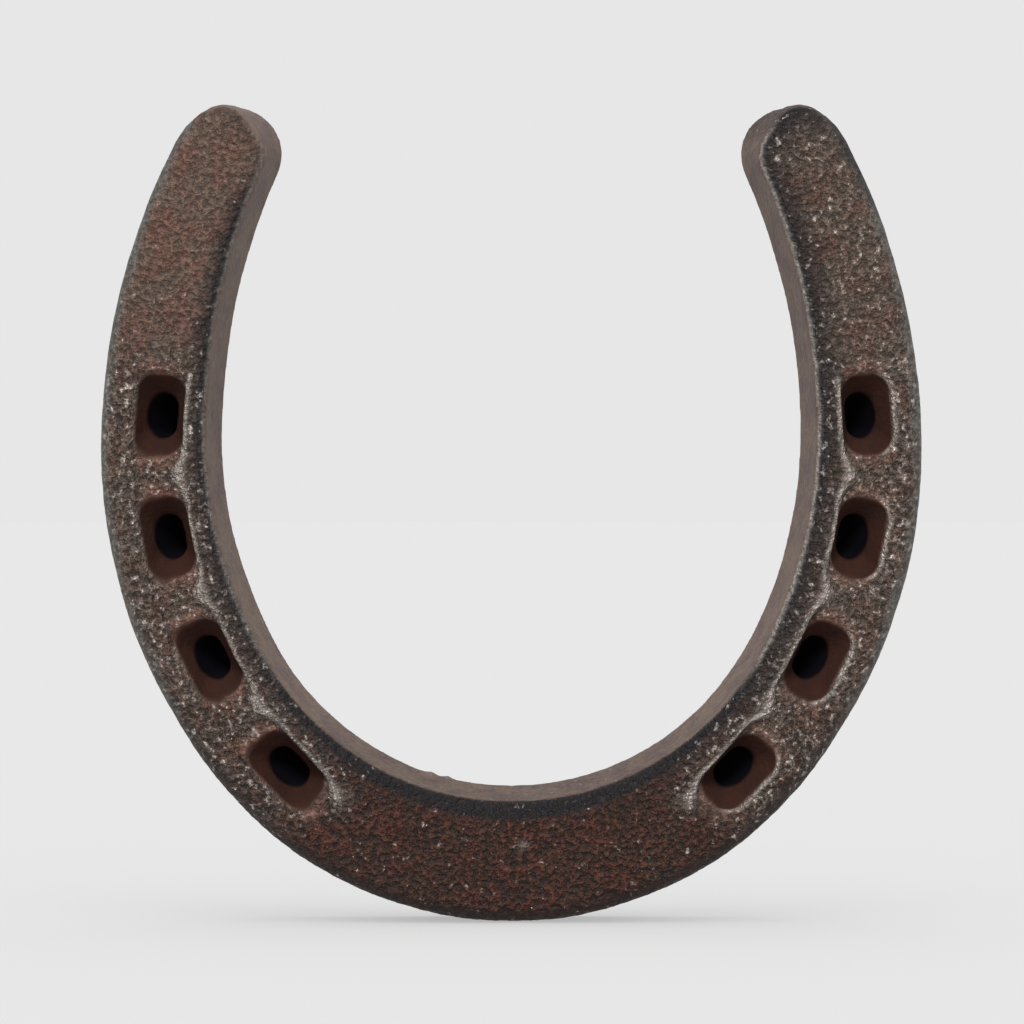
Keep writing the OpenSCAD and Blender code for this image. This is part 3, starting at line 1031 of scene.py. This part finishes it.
@dataclass(frozen=True)
class PatinatedIron:
    """Cast iron under a brown patina, with each region's finish laid over the last by its mask.

    The gaps between the sand's grains are painted darker, as shade. Where the grains stand highest the wax
    has
    rubbed off: small spots of bared iron, more metallic and smoother, in a light colour that also paints
    glints.
    """

    patches: Speckle = Speckle(4.0 * MM, 4.0, 0.6)
    grit: Speckle = Speckle(0.85 * MM, 2.5, 0.55)
    fine_grit: Speckle = Speckle(0.32 * MM, 2.0, 0.5)
    glints: Speckle = Speckle(1.05 * MM, 2.0, 0.6)
    stained: Ramp = Ramp(0.42, 0.62)
    grit_tops: Ramp = Ramp(0.29, 0.7)
    fine_share: float = 0.4
    relief: float = 0.48 * MM
    gap_shade: float = 0.95
    glint_start: float = 0.64
    rubbed_glint_start: float = 0.5
    glint_rise: Ramp = Ramp(0.0, 0.14)
    # How patchy the painted highlight along the lips and edges is.
    highlight_patches: Ramp = Ramp(0.4, 0.6)
    highlight_least: float = 0.65
    # How much of the light colour of bared iron, which also paints glints, shows.
    bare_and_glint_share: float = 0.8
    bare_metallic: float = 0.8
    bare_roughness: float = 0.35
    shine: float = 0.22
    pocket_shine: float = 0.06
    # The light colour of bared iron, which also paints the glints and highlights.
    bare_iron_and_glint_colour: str = "#beb4ac"
    # The colour of the painted shade in the grains' gaps and where the surface dips.
    painted_shade_colour: str = "#1e1714"

    def layers(self) -> list[tuple[Mask, Finish]]:
        """Lists the finishes that lie over the sand face, the last on top."""
        return [
            (Mask.TOE, DARK_TOE),
            (Mask.BURNISH_AND_GLINT, RUBBED_IRON),
            (Mask.BLOOM, RUST_BLOOM),
            (Mask.RIM, HANDLED_RIM),
            (Mask.BEVEL, BLUE_BLACK),
            (Mask.WALL, CORE_WALL),
            (Mask.POCKET, NAIL_POCKET),
            (Mask.BORE, BORE_PAINTED_SHADE),
        ]

    def material(self) -> bpy.types.Material:
        """Builds the material.

        Returns:
            The finished material.
        """
        made = bpy.data.materials.new("sand_cast_iron_brown_patina")
        made.use_nodes = True
        tree = made.node_tree
        tree.nodes.clear()
        place = add_node(tree, "TexCoord", {}, "Object")
        masks = {mask: add_node(tree, "Attribute", {}, "Fac", attribute_name=mask.value) for mask in Mask}
        look = self.stacked(tree, place, masks)
        grit = add_node(tree, "TexNoise", self.grit.inputs(place))
        tops = add_node(tree, "MapRange", self.grit_tops.inputs(grit), **SMOOTH)
        self.paint_gap_shade(tree, look, tops, masks)
        self.bare_and_glint_tops(tree, look, tops, masks, place)
        fine = add_node(tree, "TexNoise", self.fine_grit.inputs(place))
        height = add_node(tree, "Math", {0: fine, 1: self.fine_share, 2: tops}, operation="MULTIPLY_ADD")
        bump = {"Height": height, "Distance": self.relief, "Strength": look["grain"]}
        shine = add_node(tree, "Mix", {0: masks[Mask.POCKET], 2: self.shine, 3: self.pocket_shine})
        iron = {
            "Base Color": look["colour"],
            "Roughness": look["roughness"],
            "Metallic": look["metallic"],
            "Normal": add_node(tree, "Bump", bump),
            "Specular IOR Level": add_node(tree, "Mix", {0: masks[Mask.BORE], 2: shine, 3: 0.0}),
        }
        end = tree.nodes.new("ShaderNodeOutputMaterial")
        tree.links.new(add_node(tree, "BsdfPrincipled", iron), end.inputs["Surface"])
        return made

    def stacked(self, tree: bpy.types.NodeTree, place: Any, masks: dict[Mask, Any]) -> dict[str, Any]:
        """Lays the finishes over one another, each with soft stains in its second colour.

        Args:
            tree: The material's tree.
            place: The socket that gives the place.
            masks: The regions' sockets.

        Returns:
            The sockets of the whole skin's colour, roughness, metallic share and grain, by name.
        """
        patches = add_node(tree, "TexNoise", self.patches.inputs(place))
        stain = add_node(tree, "MapRange", self.stained.inputs(patches), **SMOOTH)
        numbers = ("roughness", "metallic", "grain")
        sand = {0: stain, 6: linear(SAND_FACE.colour), 7: linear(SAND_FACE.stain)}
        look = {name: getattr(SAND_FACE, name) for name in numbers}
        look["colour"] = add_node(tree, "Mix", sand, COLOUR_OUTPUT, **COLOURS)
        for mask, finish in self.layers():
            stains = {0: stain, 6: linear(finish.colour), 7: linear(finish.stain)}
            own = add_node(tree, "Mix", stains, COLOUR_OUTPUT, **COLOURS)
            over = {0: masks[mask], 6: look["colour"], 7: own}
            look["colour"] = add_node(tree, "Mix", over, COLOUR_OUTPUT, **COLOURS)
            for name in numbers:
                over = {0: masks[mask], 2: look[name], 3: getattr(finish, name)}
                look[name] = add_node(tree, "Mix", over)
        return look

    def paint_gap_shade(
        self, tree: bpy.types.NodeTree, look: dict[str, Any], tops: Any, masks: dict[Mask, Any]
    ) -> None:
        """Paints shade into the colour: in the gaps between the grains, where the surface dips, and along
        the shadow lines beside the creases.

        Args:
            tree: The material's tree.
            look: The skin's sockets, whose colour is changed.
            tops: The socket that is 1 on the grains' tops.
            masks: The regions' sockets.
        """
        low = add_node(tree, "Math", {0: 1.0, 1: tops}, operation="SUBTRACT")
        gaps = add_node(tree, "Math", {0: low, 1: masks[Mask.CREVICE_SHADE]}, operation="MAXIMUM")
        shade = add_node(tree, "Math", {0: gaps, 1: look["grain"]}, operation="MULTIPLY")
        shade = add_node(tree, "Math", {0: shade, 1: self.gap_shade}, operation="MULTIPLY")
        # Painted shade, mixed into the colour.
        gap_shade_mix = {0: shade, 6: look["colour"], 7: linear(self.painted_shade_colour)}
        look["colour"] = add_node(tree, "Mix", gap_shade_mix, COLOUR_OUTPUT, **COLOURS)

    def bare_and_glint_tops(
        self, tree: bpy.types.NodeTree, look: dict[str, Any], tops: Any, masks: dict[Mask, Any], place: Any
    ) -> None:
        """Bares the iron in small spots on the grains' tops, more where it is rubbed, and along the lips
        and edges, in a light colour that paints glints and highlights.

        Args:
            tree: The material's tree.
            look: The skin's sockets, whose colour, roughness and metallic share are changed.
            tops: The socket that is 1 on the grains' tops.
            masks: The regions' sockets.
            place: The socket that gives the place.
        """
        sparks = add_node(tree, "TexNoise", self.glints.inputs(place))
        start = {0: masks[Mask.BURNISH_AND_GLINT], 2: self.glint_start, 3: self.rubbed_glint_start}
        above = add_node(tree, "Math", {0: sparks, 1: add_node(tree, "Mix", start)}, operation="SUBTRACT")
        glints = add_node(tree, "MapRange", self.glint_rise.inputs(above), **SMOOTH)
        glints = add_node(tree, "Math", {0: glints, 1: tops}, operation="MULTIPLY")
        glints = add_node(tree, "Math", {0: glints, 1: look["grain"]}, operation="MULTIPLY")
        # Painted highlight along the lips and the inner wall's edge, in patches.
        worn = add_node(tree, "MapRange", self.highlight_patches.inputs(sparks), **SMOOTH)
        worn = add_node(tree, "Mix", {0: worn, 2: self.highlight_least, 3: 1.0})
        lip = add_node(tree, "Math", {0: masks[Mask.EDGE], 1: worn}, operation="MULTIPLY")
        bare_and_glint = add_node(tree, "Math", {0: glints, 1: lip}, operation="MAXIMUM")
        open_face = add_node(tree, "Math", {0: 1.0, 1: masks[Mask.POCKET]}, operation="SUBTRACT")
        bare_and_glint = add_node(tree, "Math", {0: bare_and_glint, 1: open_face}, operation="MULTIPLY")
        shown = add_node(tree, "Math", {0: bare_and_glint, 1: self.bare_and_glint_share}, operation="MULTIPLY")
        # The light colour of bared iron, which paints the glints and highlights.
        glint_mix = {0: shown, 6: look["colour"], 7: linear(self.bare_iron_and_glint_colour)}
        look["colour"] = add_node(tree, "Mix", glint_mix, COLOUR_OUTPUT, **COLOURS)
        look["metallic"] = add_node(tree, "Mix", {0: bare_and_glint, 2: look["metallic"], 3: self.bare_metallic})
        look["roughness"] = add_node(tree, "Mix", {0: bare_and_glint, 2: look["roughness"], 3: self.bare_roughness})


@dataclass(frozen=True)
class Lamp:
    """One broad far lamp: its strength in watts for each square metre, and how wide it looks.

    A wide lamp gives soft shadows. Its heading is the way its light goes.
    """

    name: str
    strength: float
    spread: float
    heading: tuple[float, float, float]

    def hang(self, lit: bpy.types.Object) -> None:
        """Hangs the lamp so that it lights only one object.

        Args:
            lit: The object it lights.
        """
        data = bpy.data.lights.new(self.name, "SUN")
        data.energy = self.strength
        data.angle = math.radians(self.spread)
        made = bpy.data.objects.new(self.name, data)
        made.rotation_euler = Vector(self.heading).to_track_quat("-Z", "Y").to_euler()
        bpy.context.scene.collection.objects.link(made)
        made.light_linking.receiver_collection = bpy.data.collections.new(f"{self.name}_lights")
        made.light_linking.receiver_collection.objects.link(lit)


@dataclass
class Studio:
    """A pale floor that runs to the horizon, an even pale sky, a soft light from above, and the camera."""

    backdrop: str = "#e7e7e7"
    floor_size: float = 40.0
    floor_tone: float = 0.36
    floor_lift: float = 1.0075
    camera_gap: float = 0.5
    camera_side: float = 0.1 * MM
    lens: float = 115.7
    softbox: Lamp = Lamp("softbox", 3.1, 20.0, (0.12, 0.68, -0.8))
    overhead: Lamp = Lamp("overhead", 0.8, 48.0, (0.0, 0.1, -1.0))

    def build(self, piece: bpy.types.Object) -> None:
        """Makes the floor, the lights and the camera, and shows colours as they are given.

        Args:
            piece: The shoe that the softbox lights.
        """
        bpy.context.scene.view_settings.view_transform = "Standard"
        self.light(piece, self.floor())
        self.camera()

    def floor(self) -> bpy.types.Object:
        """Lays the floor, a pale panel lit from below until it is as bright as the sky behind it.

        Returns:
            The floor.
        """
        bpy.ops.mesh.primitive_plane_add(size=self.floor_size)
        plane = bpy.context.object
        plane.name = "floor"
        paint = bpy.data.materials.new("matt_studio_paint")
        paint.use_nodes = True
        sky = linear(self.backdrop)[0]
        # A wide lamp overhead throws a little less light on a level floor than a narrow one.
        aslant = (1 + math.cos(math.radians(self.overhead.spread / 2))) / 2
        lit = self.floor_tone * (sky + self.overhead.strength * aslant / math.pi)
        shader = paint.node_tree.nodes["Principled BSDF"]
        look = {
            "Base Color": (self.floor_tone,) * 3 + (1,),
            "Roughness": 1.0,
            "Specular IOR Level": 0.0,
            "Emission Color": linear(self.backdrop),
            "Emission Strength": self.floor_lift - lit / sky,
        }
        for name, value in look.items():
            shader.inputs[name].default_value = value
        plane.data.materials.append(paint)
        return plane

    def light(self, piece: bpy.types.Object, plane: bpy.types.Object) -> None:
        """Sets the sky, a softbox in front and above for the shoe, and a lamp overhead for the floor.

        Args:
            piece: The shoe.
            plane: The floor.
        """
        world = bpy.data.worlds.new("studio")
        bpy.context.scene.world = world
        world.use_nodes = True
        sky = world.node_tree.nodes["Background"]
        sky.inputs["Color"].default_value = linear(self.backdrop)
        self.softbox.hang(piece)
        self.overhead.hang(plane)

    def camera(self) -> None:
        """Stands the camera in front of the ground face, level with the middle of the shoe."""
        low, high = CAD_BOX
        data = bpy.data.cameras.new("camera")
        data.lens = self.lens
        eye = bpy.data.objects.new("camera", data)
        eye.location = (self.camera_side, low.y - self.camera_gap, (low.z + high.z) / 2)
        eye.rotation_euler = (math.pi / 2, 0.0, 0.0)
        bpy.context.scene.collection.objects.link(eye)
        bpy.context.scene.camera = eye


def main() -> None:
    """Builds the studio and the shoe."""
    casting = Casting()
    piece = casting.build()
    Studio().build(piece)
    casting.dress(piece, PatinatedIron().material())
    log.info("piece %s rides on root", piece.name)


if __name__ == "__main__":
    main()
